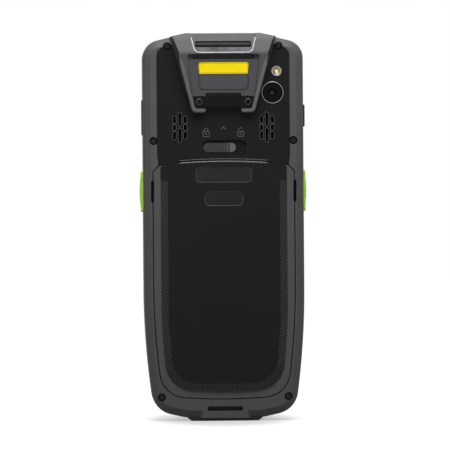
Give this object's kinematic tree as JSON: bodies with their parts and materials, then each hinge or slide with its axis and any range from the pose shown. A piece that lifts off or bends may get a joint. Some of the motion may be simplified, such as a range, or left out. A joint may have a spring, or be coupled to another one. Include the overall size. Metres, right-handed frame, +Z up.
{
  "type": "portable barcode data terminal",
  "caption": "Handheld barcode data terminal standing on its foot, with a raised scanner hood, a latched hinged battery cover, side triggers, a touch glass and a keypad.",
  "frame": {"origin": "centre of the foot's underside", "axes": "+Z up the device towards the scanner hood, +Y out of the back, screen towards -Y"},
  "size_m": [0.075, 0.0282, 0.176],
  "materials": {
    "housing_grey": "fine spark-eroded matt",
    "plate_black": "smooth satin",
    "panel_black": "matt with fine diagonal border",
    "seal_rubber": "matt",
    "foot_rubber": "matt",
    "accent_green": "satin",
    "side_key": "satin",
    "latch_black": "matt",
    "latch_knob": "satin, ribbed",
    "black_steel": "black oxide",
    "bracket_black": "matt black",
    "label_grey": "fine matt",
    "label_yellow": "printed film",
    "window_dark": "dark filter glass",
    "camera_glass": "coated glass",
    "camera_ring": "satin, anodised",
    "module_black": "matt",
    "flash_lens": "clear moulded lens",
    "can_steel": "tinned sheet",
    "frame_alloy": "cast, bead blasted",
    "board_green": "solder mask",
    "battery_black": "film wrapped",
    "contact_gold": "gold flashed",
    "screen_glass": "black bordered cover glass",
    "display_black": "gloss",
    "status_light": "clear light pipe",
    "keycap_grey": "satin"
  },
  "bodies": {
    "terminal": {"rear_housing": "housing_grey", "front_housing": "housing_grey", "upper_plate": "plate_black", "cover_seal": "seal_rubber", "housing_gasket": "seal_rubber", "keypad_mat": "seal_rubber", "foot_pad": "foot_rubber", "housing_screws": "black_steel", "strap_bracket_screws": "black_steel", "strap_bracket": "bracket_black", "label_plate": "label_grey", "yellow_label": "label_yellow", "scan_window": "window_dark", "camera_window": "camera_glass", "camera_ring": "camera_ring", "camera_module": "module_black", "flash_lens": "flash_lens", "speaker_left": "module_black", "speaker_right": "module_black", "earpiece": "module_black", "scan_engine": "module_black", "vibration_motor": "can_steel", "shield_cans": "can_steel", "earpiece_mesh": "can_steel", "mid_frame": "frame_alloy", "main_board": "board_green", "keypad_board": "board_green", "side_switches": "board_green", "battery_pack": "battery_black", "battery_contacts": "contact_gold", "dock_contacts": "contact_gold", "touch_glass": "screen_glass", "lcd_module": "display_black", "status_light": "status_light"},
    "battery_cover": {"cover_frame": "housing_grey", "cover_panel": "panel_black"},
    "latch_slider": {"latch_bolt": "latch_black"},
    "latch_thumb_button": {"latch_button": "latch_knob"},
    "left_trigger": {"trigger_left": "accent_green"},
    "right_trigger": {"trigger_right": "accent_green"},
    "power": {"power_key": "side_key"},
    "rocker": {"volume_rocker": "side_key"},
    "scan_key_cap": {"scan_key": "accent_green"},
    "back_key_cap": {"back_key": "keycap_grey"},
    "menu_key_cap": {"menu_key": "keycap_grey"},
    "key_1_cap": {"key_1": "keycap_grey"},
    "key_2_cap": {"key_2": "keycap_grey"},
    "key_3_cap": {"key_3": "keycap_grey"},
    "key_4_cap": {"key_4": "keycap_grey"},
    "key_5_cap": {"key_5": "keycap_grey"},
    "key_6_cap": {"key_6": "keycap_grey"},
    "key_7_cap": {"key_7": "keycap_grey"},
    "key_8_cap": {"key_8": "keycap_grey"},
    "key_9_cap": {"key_9": "keycap_grey"},
    "key_star_cap": {"key_star": "keycap_grey"},
    "key_0_cap": {"key_0": "keycap_grey"},
    "key_hash_cap": {"key_hash": "keycap_grey"}
  },
  "joints": [
    {"name": "cover_hinge", "type": "hinge", "parent": "terminal", "child": "battery_cover", "pos_m": [0, 0.01, 0.0096], "axis": [-1, 0, 0], "range_deg": [0, 42]},
    {"name": "latch_slide", "type": "slide", "parent": "terminal", "child": "latch_slider", "axis": [-1, 0, 0], "range_m": [0, 0.0042]},
    {"name": "latch_press", "type": "slide", "parent": "latch_slider", "child": "latch_thumb_button", "axis": [0, -1, 0], "range_m": [0, 0.0006], "stiffness_N_per_m": 1500, "springref_m": -0.0004},
    {"name": "left_trigger_press", "type": "slide", "parent": "terminal", "child": "left_trigger", "axis": [-1, 0, 0], "range_m": [0, 0.0008], "stiffness_N_per_m": 2000, "springref_m": -0.0004},
    {"name": "right_trigger_press", "type": "slide", "parent": "terminal", "child": "right_trigger", "axis": [1, 0, 0], "range_m": [0, 0.0008], "stiffness_N_per_m": 2000, "springref_m": -0.0004},
    {"name": "power_press", "type": "slide", "parent": "terminal", "child": "power", "axis": [1, 0, 0], "range_m": [0, 0.0006], "stiffness_N_per_m": 2000, "springref_m": -0.0003},
    {"name": "rocker_tilt", "type": "hinge", "parent": "terminal", "child": "rocker", "pos_m": [0.0338, 0.0024, 0.138], "axis": [0, 1, 0], "range_deg": [-1.2, 1.2], "stiffness_Nm_per_rad": 0.12},
    {"name": "scan_key_press", "type": "slide", "parent": "terminal", "child": "scan_key_cap", "axis": [0, 1, 0], "range_m": [0, 0.0005], "stiffness_N_per_m": 1500, "springref_m": -0.0003},
    {"name": "back_key_press", "type": "slide", "parent": "terminal", "child": "back_key_cap", "axis": [0, 1, 0], "range_m": [0, 0.0005], "stiffness_N_per_m": 1500, "springref_m": -0.0003},
    {"name": "menu_key_press", "type": "slide", "parent": "terminal", "child": "menu_key_cap", "axis": [0, 1, 0], "range_m": [0, 0.0005], "stiffness_N_per_m": 1500, "springref_m": -0.0003},
    {"name": "key_1_press", "type": "slide", "parent": "terminal", "child": "key_1_cap", "axis": [0, 1, 0], "range_m": [0, 0.0005], "stiffness_N_per_m": 1500, "springref_m": -0.0003},
    {"name": "key_2_press", "type": "slide", "parent": "terminal", "child": "key_2_cap", "axis": [0, 1, 0], "range_m": [0, 0.0005], "stiffness_N_per_m": 1500, "springref_m": -0.0003},
    {"name": "key_3_press", "type": "slide", "parent": "terminal", "child": "key_3_cap", "axis": [0, 1, 0], "range_m": [0, 0.0005], "stiffness_N_per_m": 1500, "springref_m": -0.0003},
    {"name": "key_4_press", "type": "slide", "parent": "terminal", "child": "key_4_cap", "axis": [0, 1, 0], "range_m": [0, 0.0005], "stiffness_N_per_m": 1500, "springref_m": -0.0003},
    {"name": "key_5_press", "type": "slide", "parent": "terminal", "child": "key_5_cap", "axis": [0, 1, 0], "range_m": [0, 0.0005], "stiffness_N_per_m": 1500, "springref_m": -0.0003},
    {"name": "key_6_press", "type": "slide", "parent": "terminal", "child": "key_6_cap", "axis": [0, 1, 0], "range_m": [0, 0.0005], "stiffness_N_per_m": 1500, "springref_m": -0.0003},
    {"name": "key_7_press", "type": "slide", "parent": "terminal", "child": "key_7_cap", "axis": [0, 1, 0], "range_m": [0, 0.0005], "stiffness_N_per_m": 1500, "springref_m": -0.0003},
    {"name": "key_8_press", "type": "slide", "parent": "terminal", "child": "key_8_cap", "axis": [0, 1, 0], "range_m": [0, 0.0005], "stiffness_N_per_m": 1500, "springref_m": -0.0003},
    {"name": "key_9_press", "type": "slide", "parent": "terminal", "child": "key_9_cap", "axis": [0, 1, 0], "range_m": [0, 0.0005], "stiffness_N_per_m": 1500, "springref_m": -0.0003},
    {"name": "key_star_press", "type": "slide", "parent": "terminal", "child": "key_star_cap", "axis": [0, 1, 0], "range_m": [0, 0.0005], "stiffness_N_per_m": 1500, "springref_m": -0.0003},
    {"name": "key_0_press", "type": "slide", "parent": "terminal", "child": "key_0_cap", "axis": [0, 1, 0], "range_m": [0, 0.0005], "stiffness_N_per_m": 1500, "springref_m": -0.0003},
    {"name": "key_hash_press", "type": "slide", "parent": "terminal", "child": "key_hash_cap", "axis": [0, 1, 0], "range_m": [0, 0.0005], "stiffness_N_per_m": 1500, "springref_m": -0.0003}
  ]
}
